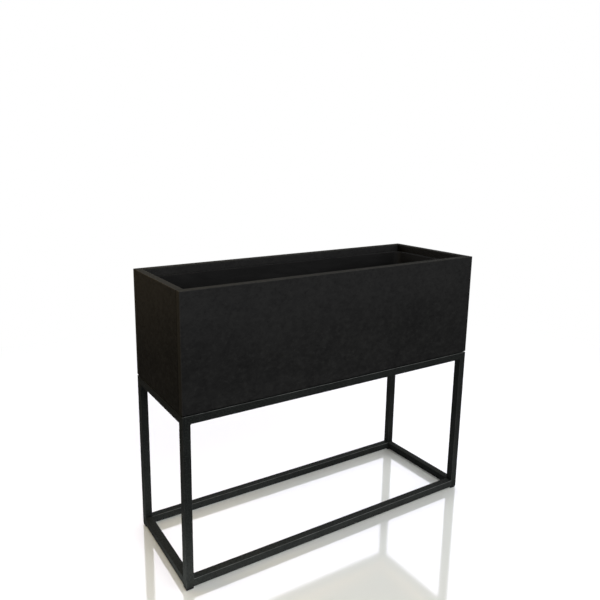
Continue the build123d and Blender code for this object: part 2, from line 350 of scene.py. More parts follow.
# ---- materials
BOARD_TONES = {
    "dark drift": tone(31, 31, 31), "pale drift": tone(38, 38, 37.5),
    "clouds": tone(46, 46, 45), "painted light from above": tone(51, 51, 51), "runs": tone(18, 18, 17),
    "pale mottle": tone(50, 50, 49), "dark mottle": tone(25, 25, 25),
    "pale flecks": tone(53, 53, 52), "dark flecks": tone(20, 20, 20), "fibres": tone(22, 22, 22),
    "sawn edges and painted rim light": tone(57, 57, 54), "worn and highlit arrises": tone(68, 67, 64), "seams": tone(10, 10, 10)}
COAT_TONES = {
    "dark drift": tone(31, 33, 32), "pale drift": tone(36, 38, 37),
    "pale grit": tone(55, 57, 55), "dark grit": tone(20, 21, 20),
    "dust_and_floor_light": tone(56, 58, 56), "painted corner highlights": tone(122, 124, 122)}
RUBBER_TONES = (tone(18), tone(30))
ZINC_TONES = (tone(150, 146, 132), tone(186, 184, 176))
SOFTWOOD_TONES = (tone(196, 164, 118), tone(150, 112, 70))
DOWEL_TONES = (tone(205, 180, 140), tone(176, 142, 98))
LINER_TONE = tone(20, 20, 20)
FOOT_TONE = tone(17, 17, 17)


def edge_mask(wires, place):
    """1 on the trough's exposed arrises, fading to 0 a few millimetres away; partly worn, partly a painted
    highlight along the arrises.
    """
    x, y, z = wires.split(wires.unsigned(place))

    def from_outline(half_length, half_depth):
        return wires.larger(wires.minus(x, half_length), wires.minus(y, half_depth))

    outer = from_outline(HALF_LENGTH, HALF_DEPTH)
    inner = from_outline(HALF_LENGTH - BOARD, HALF_DEPTH - BOARD)
    below_rim = wires.minus(z, RIM)
    corner = wires.hypot(wires.minus(x, HALF_LENGTH), wires.minus(y, HALF_DEPTH))
    nearest = wires.smaller(wires.hypot(outer, below_rim), wires.hypot(inner, below_rim))
    upright = wires.fade(corner, *CORNER_WEAR_AND_HIGHLIGHT, 0.0, CORNER_WEAR_AND_HIGHLIGHT_SHARE)
    return wires.larger(wires.fade(nearest, *ARRIS_WEAR_AND_HIGHLIGHT), upright)


def sawn_mask(wires, place):
    """1 on the walls' rim, paler as cut board and with painted light from above, and less on the long walls'
    sawn ends.
    """
    x, y, z = wires.split(wires.unsigned(place))
    start, full = SAWN_AND_LIT_RIM_BELOW
    joint = HALF_DEPTH - BOARD
    rim = wires.fade(z, RIM - start, RIM - full)
    end = wires.times(wires.fade(x, HALF_LENGTH - start, HALF_LENGTH - full),
                      wires.fade(y, joint - SAWN_BLUR, joint + SAWN_BLUR))
    return wires.larger(rim, wires.times(end, SAWN_END_SHARE))


def seam_mask(wires, place):
    """1 in the fine grooves between the end walls and the long walls."""
    x, y, _ = wires.split(wires.unsigned(place))
    from_joint = wires.math("ABSOLUTE", wires.minus(y, HALF_DEPTH - BOARD))
    inner_face = HALF_LENGTH - BOARD
    return wires.times(wires.fade(from_joint, *SEAM_BESIDE), wires.fade(x, inner_face, inner_face + MM))


def dyed_board():
    """Charcoal fibre board, dyed through: cloudy, finely flecked, paler where sawn and worn, with painted
    light from above towards the rim and painted highlights on its arrises.
    """
    material, wires, place, shader = new_material("dyed_board", specular=0.002)
    drift = wires.noise(place, 6.5, detail=5, roughness=0.6, distortion=0.3)
    clouds = wires.noise(place, 30, detail=4, roughness=0.65, distortion=0.6)
    mottle = wires.noise(place, (62, 62, 85), detail=2, roughness=0.45, distortion=0.5)
    flecks = wires.noise(place, (110, 110, 140), detail=5, roughness=0.8, distortion=0.4)
    fibre = wires.noise(place, (520, 520, 260), detail=3, roughness=0.7, distortion=1.2)
    runs = wires.noise(place, (55, 55, 5), detail=3, roughness=0.6)
    patchy = wires.fade(wires.noise(place, 60, detail=4, roughness=0.7), 0.25, 0.65, 0.35, 1.0)
    height = wires.split(place)["Z"]
    wear_and_highlight = wires.times(edge_mask(wires, place), patchy)
    base = wires.blend(wires.fade(drift, 0.3, 0.7), BOARD_TONES["dark drift"], BOARD_TONES["pale drift"])
    layers = {
        "clouds": wires.fade(clouds, 0.38, 0.72, 0.0, 0.35),
        # Painted light from above: the walls grow paler towards the rim.
        "painted light from above": wires.fade(height, RIM - 0.2, RIM - 0.02, 0.0, 0.5),
        "runs": wires.fade(runs, 0.6, 0.78, 0.0, 0.08),
        "pale mottle": wires.fade(mottle, 0.48, 0.72, 0.0, 0.3),
        "dark mottle": wires.fade(mottle, 0.52, 0.28, 0.0, 0.2),
        "pale flecks": wires.fade(flecks, 0.52, 0.7, 0.0, 0.5),
        "dark flecks": wires.fade(flecks, 0.48, 0.3, 0.0, 0.45),
        "fibres": wires.fade(fibre, 0.55, 0.75, 0.0, 0.25),
        # The rim is partly paler cut board, partly painted light from above.
        "sawn edges and painted rim light": wires.times(sawn_mask(wires, place), 0.7),
        # Partly worn, partly painted highlight: the rim and outer corner arrises are painted paler.
        "worn and highlit arrises": wires.times(wear_and_highlight, 0.6),
        "seams": wires.times(seam_mask(wires, place), 0.8)}
    relief = wires.bump(flecks, 0.5 * MM, 0.22, wires.bump(fibre, 0.25 * MM, 0.35))
    wires.surface(shader, wires.layered(base, layers, BOARD_TONES),
                  wires.fade(flecks, 0.3, 0.7, 0.88, 0.74), relief)
    return material


def joint_mask(wires, place):
    """1 at the welded corners of the stand, where the tube was ground before coating."""
    spot = wires.unsigned(place)
    distances = []
    for level in (LEG_FOOT + TUBE / 2, CAP_TOP - TUBE / 2):
        corner = (HALF_LENGTH - TUBE / 2, HALF_DEPTH - TUBE / 2, level)
        distances.append(wires.add("ShaderNodeVectorMath", {"operation": "DISTANCE"},
                                   {0: spot, 1: corner}).outputs["Value"])
    start, full = GROUND_JOINT
    return wires.fade(wires.smaller(*distances), start * TUBE, full * TUBE)


def powder_coat():
    """Black powder coat over welded steel tube, with a painted highlight along the tube's corners and
    painted floor light low down.
    """
    material, wires, place, shader = new_material("powder_coat", specular=0.003)
    peel = wires.noise(place, 1500, detail=2, roughness=0.5)
    drift = wires.noise(place, 22, detail=3, roughness=0.6)
    grit = wires.noise(place, 300, detail=3, roughness=0.7)
    ground = wires.noise(place, 150, detail=3, roughness=0.6)
    facing = wires.coordinates("Normal")
    upward = wires.split(facing)["Z"]
    height = wires.split(place)["Z"]
    # Lighter towards the floor: partly dirt thrown up from the floor, partly painted light from the floor
    # below; dirt also lies on the low faces that face up.
    splash_and_floor_light = wires.fade(height, 0.26, 0.02, 0.0, 0.5)
    lying = wires.times(wires.fade(upward, 0.6, 0.95), wires.fade(height, 0.3, 0.2, 0.0, 0.75))
    dust_and_floor_light = wires.times(wires.larger(splash_and_floor_light, lying), wires.fade(ground, 0.3, 0.7, 0.4, 1.0))
    corner = wires.add("ShaderNodeAttribute", {"attribute_name": "corner"}).outputs["Fac"]
    endward, outward, _ = wires.split(wires.unsigned(facing))
    # Painted highlight: the rounded corners that face up and outward, and faintly the upright ones, are
    # painted pale.
    long_edge = wires.fade(wires.times(outward, upward), 0.3, 0.48)
    upright_edge = wires.fade(wires.times(outward, endward), 0.2, 0.48, 0.0, 0.2)
    painted_corner_highlight = wires.times(wires.fade(corner, 0.1, 0.9), wires.larger(long_edge, upright_edge))
    painted_corner_highlight = wires.times(painted_corner_highlight, wires.fade(drift, 0.3, 0.62, 0.5, 1.0))
    base = wires.blend(wires.fade(drift, 0.35, 0.65), COAT_TONES["dark drift"], COAT_TONES["pale drift"])
    layers = {
        "pale grit": wires.fade(grit, 0.46, 0.66, 0.0, 0.6),
        "dark grit": wires.fade(grit, 0.5, 0.34, 0.0, 0.5),
        "dust_and_floor_light": dust_and_floor_light,
        "painted corner highlights": painted_corner_highlight}
    filed = wires.bump(wires.times(ground, joint_mask(wires, place)), 0.9 * MM, 0.5)
    wires.surface(shader, wires.layered(base, layers, COAT_TONES),
                  wires.fade(drift, 0.3, 0.7, 0.56, 0.68), wires.bump(peel, 0.12 * MM, 0.5, filed))
    return material


def moulded_plastic(name, colour):
    """Matt moulded plastic with a fine eroded grain and faint flow marks."""
    material, wires, place, shader = new_material(name, specular=0.1)
    skin = wires.noise(place, 900, detail=2, roughness=0.6)
    flow = wires.noise(place, (5, 5, 26), detail=3, roughness=0.6, distortion=0.8)
    pale = tuple(min(1.0, value * 1.7) for value in colour[:3]) + (1.0,)
    wires.surface(shader, wires.blend(wires.fade(flow, 0.35, 0.7), colour, pale),
                  wires.fade(flow, 0.3, 0.7, 0.5, 0.62), wires.bump(skin, 0.15 * MM, 0.45))
    return material


def rubber():
    """Dull black rubber with a crumbly skin."""
    material, wires, place, shader = new_material("pad_rubber", specular=0.08)
    crumb = wires.noise(place, 1400, detail=3, roughness=0.7)
    wires.surface(shader, wires.blend(wires.fade(crumb, 0.4, 0.7), *RUBBER_TONES),
                  0.82, wires.bump(crumb, 0.1 * MM, 0.6))
    return material


def planed_wood(name, along_x, pale, dark):
    """Planed wood with its grain along X or Y."""
    material, wires, place, shader = new_material(name, specular=0.15)
    stretch = (3, 70, 70) if along_x else (70, 3, 70)
    rings = wires.noise(place, stretch, detail=4, roughness=0.55, distortion=0.9)
    pores = wires.noise(place, tuple(value * 9 for value in stretch), detail=2)
    bands = wires.blend(wires.fade(rings, 0.35, 0.65), dark, pale)
    wires.surface(shader, wires.blend(wires.fade(pores, 0.58, 0.75, 0.0, 0.5), bands, dark),
                  wires.fade(rings, 0.3, 0.7, 0.62, 0.75), wires.bump(pores, 0.2 * MM, 0.4))
    return material


def zinc_steel():
    """Zinc-plated steel, faintly blotched."""
    material, wires, place, shader = new_material("screw_zinc", specular=0.5)
    shader.inputs["Metallic"].default_value = 1.0
    blotch = wires.noise(place, 500, detail=3, roughness=0.6)
    wires.surface(shader, wires.blend(wires.fade(blotch, 0.35, 0.7), *ZINC_TONES),
                  wires.fade(blotch, 0.3, 0.7, 0.28, 0.45), wires.bump(blotch, 0.05 * MM, 0.4))
    return material


# ---- geometry
def add_object(name, mesh, material, body):
    """A finished mesh as a piece that rides on a body."""
    piece = placed(name, mesh)
    mesh.materials.clear()
    mesh.materials.append(material)
    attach(piece, body)
    return piece


def mesh_of(name, shape):
    """The mesh that a bmesh holds; the bmesh is used up."""
    mesh = bpy.data.meshes.new(name)
    shape.to_mesh(mesh)
    shape.free()
    return mesh


def plain_mesh(name, verts, edges=(), faces=()):
    mesh = bpy.data.meshes.new(name)
    mesh.from_pydata(verts, edges, faces)
    return mesh


def smooth_by_angle(mesh, degrees):
    mesh.shade_smooth()
    mesh.set_sharp_from_angle(angle=math.radians(degrees))


def bridge(shape, lower, upper):
    """Faces between two rings of as many points."""
    count = len(lower)
    for i in range(count):
        j = (i + 1) % count
        shape.faces.new((lower[i], lower[j], upper[j], upper[i]))


def prism(outline, low, high):
    """bmesh of a plan outline raised from low to high."""
    shape = bmesh.new()
    ring = [shape.verts.new((x, y, low)) for x, y in outline]
    base = shape.faces.new(ring)
    raised = bmesh.ops.extrude_face_region(shape, geom=[base])
    tops = [item for item in raised["geom"] if isinstance(item, bmesh.types.BMVert)]
    bmesh.ops.translate(shape, verts=tops, vec=(0, 0, high - low))
    bmesh.ops.recalc_face_normals(shape, faces=shape.faces)
    return shape


def is_upright(direction):
    return abs(direction.z) > 0.5


def weigh_edges(shape, weight_of):
    """Stores each edge's bevel weight, as weight_of(middle, direction) gives it."""
    layer = shape.edges.layers.float.new("bevel_weight_edge")
    for edge in shape.edges:
        start, stop = (vert.co for vert in edge.verts)
        direction = (stop - start).normalized()
        edge[layer] = weight_of((start + stop) / 2, direction)


def bevelled(name, shape, width, steps, material, body):
    """Piece from a bmesh whose edges carry bevel weights."""
    mesh = mesh_of(name, shape)
    mesh.shade_smooth()
    piece = add_object(name, mesh, material, body)
    bevel = piece.modifiers.new("arris", "BEVEL")
    bevel.width = width
    bevel.segments = steps
    bevel.limit_method = "WEIGHT"
    bevel.harden_normals = True
    return piece


def near(a, b):
    return abs(a - b) < TOUCH


def mesh_now(item):
    """The mesh of an object with its modifiers worked in."""
    graph = bpy.context.evaluated_depsgraph_get()
    return bpy.data.meshes.new_from_object(item.evaluated_get(graph))


def settled(piece):
    """The piece's modifiers worked into its mesh for good."""
    mesh = mesh_now(piece)
    piece.modifiers.clear()
    piece.data = mesh
    return mesh


def worked(piece, shape, operation):
    """Another shape joined to the piece or cut from it."""
    tool = placed("tool", mesh_of("tool", shape))
    step = piece.modifiers.new("step", "BOOLEAN")
    step.operation = operation
    step.object = tool
    settled(piece)
    bpy.data.objects.remove(tool)


# ---- grown shapes
def new_tree(name, sizes, on_mesh=True, seed=None):
    """Node builder and inputs of a tree with these named sizes, which may grow on a mesh."""
    tree = bpy.data.node_groups.new(name, "GeometryNodeTree")

    def socket(label, kind, way="INPUT"):
        return tree.interface.new_socket(label, in_out=way, socket_type=f"NodeSocket{kind}")

    if on_mesh:
        socket("Geometry", "Geometry")
    for label, value in sizes.items():
        socket(label, "Float").default_value = value
    if seed is not None:
        socket("Seed", "Int").default_value = seed
    socket("Geometry", "Geometry", "OUTPUT")
    wires = Wires(tree)
    return wires, wires.add("NodeGroupInput").outputs


def finish_tree(wires, geometry, material):
    """Ends a tree in Realize Instances and Set Material."""
    real = wires.made("GeometryNodeRealizeInstances", None, {0: geometry})
    painted = wires.made("GeometryNodeSetMaterial", None, {"Geometry": real, "Material": material})
    wires.add("NodeGroupOutput", None, {0: painted})
    return wires.tree


def grown(tree, sizes, seed_mesh=None):
    """The plain mesh that a tree makes with these named sizes."""
    holder = placed("holder", seed_mesh or bpy.data.meshes.new("seed"))
    modifier = holder.modifiers.new("make", "NODES")
    modifier.node_group = tree
    for item in tree.interface.items_tree:
        if item.in_out == "INPUT" and item.name in sizes:
            modifier[item.identifier] = sizes[item.name]
    result = mesh_now(holder)
    holder.modifiers.remove(modifier)
    bpy.data.objects.remove(holder)
    return result


# ---- trough walls
def wall_weight(middle, direction):
    """Exposed edges of the walls get a full arris; edges beside a joint get a fine one."""
    x, y, z = abs(middle.x), abs(middle.y), middle.z
    at_rim, at_foot = near(z, WALL_HIGH.z), near(z, WALL_LOW.z)
    on_outline = near(x, HALF_LENGTH) or near(y, HALF_DEPTH)
    seam = SEAM / ARRIS
    if is_upright(direction):
        if near(x, HALF_LENGTH) and near(y, HALF_DEPTH):
            return 1.0
        return seam if on_outline else 0.0
    if at_rim or (at_foot and on_outline):
        at_joint = near(y, HALF_DEPTH - BOARD) and x > HALF_LENGTH - BOARD
        return seam if at_joint else 1.0
    return 0.0


def wall_outline(node):
    """Plan of a wall, with a point on the long walls where an end wall's inner face meets them."""
    low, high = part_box(node)
    if high.x - low.x < high.y - low.y:
        return [(low.x, low.y), (high.x, low.y), (high.x, high.y), (low.x, high.y)]
    y_side = 1 if low.y > 0 else -1
    outer, inner = y_side * HALF_DEPTH, y_side * (HALF_DEPTH - BOARD)
    turn = HALF_LENGTH - BOARD
    return [(low.x, outer), (high.x, outer), (high.x, inner), (turn, inner), (-turn, inner), (low.x, inner)]


def make_walls(board):
    for node in ("front_wall", "rear_wall", "left_end_wall", "right_end_wall"):
        shape = prism(wall_outline(node), WALL_LOW.z, WALL_HIGH.z)
        weigh_edges(shape, wall_weight)
        piece = bevelled(f"{node}_board", shape, ARRIS, ARRIS_STEPS, board, "box")
        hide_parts(node)


# ---- stand
def mark_corners(mesh, planes):
    """Attribute "corner": 1 on the tube's rounded corners, 0 on its flats; planes are (axis, place)."""
    layer = mesh.attributes.new("corner", "FLOAT", "POINT")
    for vert, mark in zip(mesh.vertices, layer.data):
        on_flat = any(near(vert.co[axis], place) for axis, place in planes)
        mark.value = 0.0 if on_flat else 1.0


def leg_shape(low, high):
    """bmesh of a leg with its cap: square tube, closed on top and open below."""
    middle = (low + high) / 2
    shape = bmesh.new()

    def ring(width, level):
        return [shape.verts.new((middle.x + x * width / 2, middle.y + y * width / 2, level))
                for x, y in ((-1, -1), (1, -1), (1, 1), (-1, 1))]

    rings = [ring(TUBE_BORE, high.z), ring(TUBE_BORE, low.z), ring(TUBE, low.z), ring(TUBE, CAP_TOP)]
    for lower, upper in zip(rings, rings[1:]):
        bridge(shape, lower, upper)
    shape.faces.new(rings[0])
    shape.faces.new(rings[-1])
    bmesh.ops.recalc_face_normals(shape, faces=shape.faces)
    return shape


def make_legs(coat):
    """Legs with their welded caps ground flush: one hollow tube each, rounded outside."""
    for face in FACES:
        for end in SIDES:
            low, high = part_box(f"leg_{face}_{end}")
            shape = leg_shape(low, high)

            def outer_edge(middle, direction):
                upright = is_upright(direction) and (near(middle.x, low.x) or near(middle.x, high.x))
                return 1.0 if upright or near(middle.z, CAP_TOP) else 0.0

            weigh_edges(shape, outer_edge)
            name = f"{face}_{end}_leg_tube"
            piece = bevelled(name, shape, TUBE_CORNER, ROUND_STEPS, coat, "stand")
            planes = [(0, low.x), (0, high.x), (1, low.y), (1, high.y), (2, CAP_TOP)]
            mark_corners(settled(piece), planes)
            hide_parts(f"leg_{face}_{end}", f"leg_cap_{face}_{end}")


def rail_tree(coat):
    """Hollow square tube drawn along +X from the origin."""
    sizes = {"Run": 1.0, "Width": TUBE, "Bore": TUBE_BORE, "Corner": TUBE_CORNER}
    wires, source = new_tree("square_tube", sizes, on_mesh=False)

    def square(width):
        return wires.made("GeometryNodeCurvePrimitiveQuadrilateral", None,
                          {"Width": width, "Height": width})

    def bar(start, stop, profile):
        return wires.swept(wires.line(wires.vector(start), wires.vector(stop)), profile)

    rounded = wires.made("GeometryNodeFilletCurve", {"mode": "POLY"},
                         {"Curve": square(source["Width"]), "Radius": source["Corner"],
                          "Count": ROUND_STEPS})
    bore = bar(-MM, wires.plus(source["Run"], MM), square(source["Bore"]))
    return finish_tree(wires, wires.cut(bar(0.0, source["Run"], rounded), bore), coat)


def make_rails(coat):
    """Rails butted between the legs, run on through the legs' rounded corners as the welds are."""
    tree = rail_tree(coat)
    for level in ("top", "bottom"):
        for where in (*FACES, *SIDES):
            low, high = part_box(f"{level}_rail_{where}")
            middle = (low + high) / 2
            along, across = (0, 1) if where in FACES else (1, 0)
            run = high[along] - low[along] + 2 * TUBE_CORNER
            mesh = grown(tree, {"Run": run})
            turn = Matrix.Rotation(along * math.pi / 2, 4, "Z")
            mesh.transform(Matrix.Translation(middle) @ turn @ Matrix.Translation((-run / 2, 0, 0)))
            smooth_by_angle(mesh, 50)
            mark_corners(mesh, [(across, low[across]), (across, high[across]), (2, low.z), (2, high.z)])
            piece = add_object(f"{level}_{where}_rail_tube", mesh, coat, "stand")
            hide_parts(f"{level}_rail_{where}")


def weld_tree(coat):
    """A row of overlapping weld ripples along each edge of the seed mesh."""
    sizes = {"Ripple": WELD_RIPPLE, "Bead": WELD_LEG}
    wires, source = new_tree("weld_ripples", sizes, seed=WELD_SEED)
    paths = wires.made("GeometryNodeMeshToCurve", None, {0: source["Geometry"]})
    rows = wires.made("GeometryNodeResampleCurve", {"mode": "LENGTH"},
                      {"Curve": paths, "Length": source["Ripple"]})
    ripple = wires.made("GeometryNodeMeshUVSphere", None,
                        {"Segments": 10, "Rings": 6, "Radius": source["Bead"]})
    lean = wires.made("FunctionNodeRandomValue", {"data_type": "FLOAT_VECTOR"},
                      {0: RIPPLE_LEAST, 1: RIPPLE_MOST, "Seed": source["Seed"]})
    facing = wires.aligned("X", wires.made("GeometryNodeInputTangent"))
    return finish_tree(wires, wires.repeated(rows, ripple, {"Rotation": facing, "Scale": lean}), coat)


def make_welds(coat):
    """Small fillet welds in the inside corners of the stand; the outside ones are ground flush."""
    inner_x, inner_y = HALF_LENGTH - TUBE, HALF_DEPTH - TUBE
    near_end, far_end = TUBE_CORNER, TUBE - TUBE_CORNER
    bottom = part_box("bottom_rail_front")
    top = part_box("top_rail_front")
    verts, edges = [], []

    def line(sides, start, stop):
        edges.append((len(verts), len(verts) + 1))
        verts.extend((sides[0] * x, sides[1] * y, z) for x, y, z in (start, stop))

    for sides in [(x_side, y_side) for x_side in SIDES.values() for y_side in FACES.values()]:
        for level in (bottom[1].z, top[0].z):
            line(sides, (inner_x, inner_y + near_end, level), (inner_x, inner_y + far_end, level))
            line(sides, (inner_x + near_end, inner_y, level), (inner_x + far_end, inner_y, level))
        for low, high in (bottom, top):
            line(sides, (inner_x, inner_y, low.z + near_end), (inner_x, inner_y, high.z - near_end))
    mesh = grown(weld_tree(coat), {"Seed": WELD_SEED}, plain_mesh("weld_paths", verts, edges))
    smooth_by_angle(mesh, 60)
    add_object("corner_welds", mesh, coat, "stand")


# ---- liner
def liner_ring(shape, level, outside):
    """Ring of points round the liner, this far outside its wall line at that level."""
    lean = LINER_DRAFT * (LINER_HIGH.z - level) / (LINER_HIGH.z - LINER_LOW.z)
    grow = outside - lean
    half_x = LINER_HIGH.x - LINER_FLANGE + grow
    half_y = LINER_HIGH.y - LINER_FLANGE + grow
    radius = max(LINER_CORNER + grow, LINER_WALL)
    ring = []
    for quarter, (x_side, y_side) in enumerate(((1, 1), (-1, 1), (-1, -1), (1, -1))):
        for step in range(CORNER_STEPS + 1):
            turn = math.pi / 2 * (quarter + step / CORNER_STEPS)
            ring.append(shape.verts.new((x_side * (half_x - radius) + radius * math.cos(turn),
                                         y_side * (half_y - radius) + radius * math.sin(turn), level)))
    return ring


def arc(centre_out, centre_z, radius, start, stop, steps):
    """(out, level) points on an arc, in degrees from outward."""
    points = []
    for i in range(steps + 1):
        turn = math.radians(start + (stop - start) * i / steps)
        points.append((centre_out + radius * math.cos(turn), centre_z + radius * math.sin(turn)))
    return points


def make_liner(plastic):
    """Moulded tub: one closed skin from the underside, round the rolled rim, to the inner floor."""
    top, low = LINER_HIGH.z, LINER_LOW.z
    wall, roll, soft = LINER_WALL, LINER_ROLL, LINER_SOFT
    foot_turn, floor_turn = LINER_FOOT_TURN, LINER_FLOOR_TURN
    floor = low + wall
    under_rim = top - wall
    lip_foot = top - LINER_LIP
    lip_in = LINER_FLANGE - wall
    section = [
        *arc(-foot_turn, low + foot_turn, foot_turn, -90, 0, 6),
        (0.0, lip_foot - 2 * MM), (0.0, under_rim - 1.5 * MM),
        (0.6 * MM, under_rim - soft), (1.6 * MM, under_rim),
        (lip_in - MM, under_rim), (lip_in, under_rim - MM),
        (lip_in, lip_foot + soft), (lip_in + soft, lip_foot),
        (LINER_FLANGE - soft, lip_foot), (LINER_FLANGE, lip_foot + soft),
        *arc(LINER_FLANGE - roll, top - roll, roll, 0, 90, 4),
        *arc(-wall + roll, top - roll, roll, 90, 180, 4),
        (-wall, (top + floor) / 2),
        *arc(-wall - floor_turn, floor + floor_turn, floor_turn, 0, -90, 5)]
    shape = bmesh.new()
    rings = [liner_ring(shape, level, outside) for outside, level in section]
    for lower, upper in zip(rings, rings[1:]):
        bridge(shape, lower, upper)
    shape.faces.new(list(reversed(rings[0])))
    shape.faces.new(rings[-1])
    bmesh.ops.recalc_face_normals(shape, faces=shape.faces)
    piece = add_object("liner_skin", mesh_of("liner_skin", shape), plastic, "liner")
    drill_drain(piece)
    smooth_by_angle(piece.data, 40)
    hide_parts("liner_tub")


def drill_drain(piece):
    """Drain hole through the tub's floor, as wide as the liner's own and round the bung's middle."""
    bung_low, bung_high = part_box("drain_bung")
    middle = (bung_low + bung_high) / 2
    reach = (bung_high.x - bung_low.x) / 2
    radius = 0.0
    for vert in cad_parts["liner_tub"].data.vertices:
        distance = (vert.co - middle).xy.length
        if distance < reach and near(vert.co.z, LINER_LOW.z):
            radius = max(radius, distance)
    shape = bmesh.new()
    bmesh.ops.create_cone(shape, cap_ends=True, segments=TURN_STEPS, radius1=radius, radius2=radius,
                          depth=4 * LINER_WALL,
                          matrix=Matrix.Translation((middle.x, middle.y, LINER_LOW.z + LINER_WALL / 2)))
    worked(piece, shape, "DIFFERENCE")


def rib_tree(plastic, sizes):
    """Standing ribs, one along Y at each seed point, with rounded tops and run-out ends."""
    wires, source = new_tree("floor_ribs", sizes)
    half_run = wires.times(source["Run"], 0.5)
    line = wires.line(wires.vector(y=wires.times(half_run, -1.0)), wires.vector(y=half_run))
    path = wires.made("GeometryNodeResampleCurve", {"mode": "COUNT"}, {"Curve": line, "Count": RIB_POINTS})
    along = wires.add("GeometryNodeSplineParameter").outputs["Length"]
    from_end = wires.smaller(along, wires.minus(source["Run"], along))
    back = wires.minus(1.0, wires.math("DIVIDE", from_end, source["Height"], clamp=True))
    swell = wires.math("SQRT", wires.minus(1.02, wires.times(back, back)))
    side = wires.times(source["Width"], 0.5)
    other = wires.times(side, -1.0)
    sink = wires.times(source["Sink"], -1.0)
    top = source["Height"]
    square = wires.made("GeometryNodeCurvePrimitiveQuadrilateral", {"mode": "POINTS"},
                        {"Point 1": wires.vector(side, top), "Point 2": wires.vector(other, top),
                         "Point 3": wires.vector(other, sink), "Point 4": wires.vector(side, sink)})
    profile = wires.made("GeometryNodeFilletCurve", {"mode": "POLY"},
                         {"Curve": square, "Radius": RIB_ROUND, "Count": RIB_ROUND_STEPS})
    return finish_tree(wires, wires.repeated(source["Geometry"], wires.swept(path, profile, swell)), plastic)


def make_ribs(plastic):
    """Ribs that keep pots out of the water; their places are those of the liner's own ribs."""
    floor = LINER_LOW.z + LINER_WALL
    tops = [vert.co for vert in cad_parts["liner_tub"].data.vertices
            if floor + MM < vert.co.z < floor + RIB_TALLEST
            and abs(vert.co.x) < LINER_HIGH.x - 2 * LINER_CORNER]
    height = max(point.z for point in tops) - floor
    faces = sorted({round(point.x, 5) for point in tops if near(point.z, floor + height)})
    run = 2 * max(point.y for point in tops if near(point.z, floor + height))
    sizes = {"Run": run, "Width": faces[1] - faces[0], "Height": height, "Sink": RIB_SINK}
    seed = plain_mesh("rib_points", [((a + b) / 2, 0, floor) for a, b in zip(faces[::2], faces[1::2])])
    mesh = grown(rib_tree(plastic, sizes), sizes, seed)
    smooth_by_angle(mesh, 50)
    add_object("liner_floor_ribs", mesh, plastic, "liner")


# ---- bung
def turned(profile, middle):
    """bmesh of (out, level) points turned round an upright axis; the first and last lie on it."""
    shape = bmesh.new()
    verts = [shape.verts.new((middle.x + out, middle.y, level)) for out, level in profile]
    edges = [shape.edges.new(pair) for pair in zip(verts, verts[1:])]
    bmesh.ops.spin(shape, geom=verts + edges, axis=(0, 0, 1), cent=(middle.x, middle.y, 0),
                   angle=2 * math.pi, steps=TURN_STEPS)
    bmesh.ops.remove_doubles(shape, verts=shape.verts, dist=MERGED_WITHIN)
    bmesh.ops.recalc_face_normals(shape, faces=shape.faces)
    return shape


def pull_tab(middle, head_top):
    """bmesh of the bung's pull tab: a softly squared loop of rubber with an eye through it."""
    half_thick, half_wide = TAB_HALF
    centre = head_top + half_wide - MM
    shape = bmesh.new()

    def loop(across, radius, power):
        ring = []
        for step in range(TURN_STEPS):
            turn = 2 * math.pi * step / TURN_STEPS
            side, up = math.cos(turn), math.sin(turn)
            ring.append(shape.verts.new((middle.x + across,
                                         middle.y + radius * math.copysign(abs(side) ** power, side),
                                         centre + radius * math.copysign(abs(up) ** power, up))))
        return ring

    flat = half_thick - BUNG_ROUND
    outside = ((-half_thick, half_wide - BUNG_ROUND), (-flat, half_wide),
               (flat, half_wide), (half_thick, half_wide - BUNG_ROUND))
    eye = ((half_thick, TAB_EYE + BUNG_ROUND), (flat, TAB_EYE),
           (-flat, TAB_EYE), (-half_thick, TAB_EYE + BUNG_ROUND))
    rings = [loop(*place, TAB_SQUARENESS) for place in outside] + [loop(*place, 1.0) for place in eye]
    for lower, upper in zip(rings, rings[1:] + rings[:1]):
        bridge(shape, lower, upper)
    bmesh.ops.recalc_face_normals(shape, faces=shape.faces)
    return shape


def make_bung(rubber_black):
    """Drain bung: tapered stem, dished head with a rounded rim, and a pull tab."""
    low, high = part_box("drain_bung")
    middle = (low + high) / 2
    head = (high.x - low.x) / 2
    top = high.z - 2 * TAB_HALF[1] + MM
    seat = top - BUNG_HEAD
    dish, sink = BUNG_DISH
    rim = 2 * BUNG_ROUND
    profile = [(0, low.z), (BUNG_TIP - BUNG_ROUND, low.z), (BUNG_TIP, low.z + BUNG_ROUND),
               (BUNG_STEM, seat), (head - BUNG_ROUND, seat), (head, seat + BUNG_ROUND),
               *arc(head - rim, top - rim, rim, 0, 90, 5),
               (dish + sink, top), (dish, top - sink), (0, top - sink)]
    mesh = mesh_of("drain_bung_rubber", turned(profile, middle))
    piece = add_object("drain_bung_rubber", mesh, rubber_black, "bung")
    worked(piece, pull_tab(middle, top), "UNION")
    smooth_by_angle(piece.data, 35)
    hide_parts("drain_bung")


# ---- screws
def islands(node):
    """The separate solids of a CAD node, each as a list of its points."""
    shape = bmesh.new()
    shape.from_mesh(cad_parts[node].data)
    bmesh.ops.remove_doubles(shape, verts=shape.verts, dist=MERGED_WITHIN)
    waiting = set(shape.verts)
    groups = []
    while waiting:
        group, edge_of_group = [], [waiting.pop()]
        while edge_of_group:
            vert = edge_of_group.pop()
            group.append(vert.co.copy())
            for edge in vert.link_edges:
                other = edge.other_vert(vert)
                if other in waiting:
                    waiting.remove(other)
                    edge_of_group.append(other)
        groups.append(group)
    shape.free()
    return groups


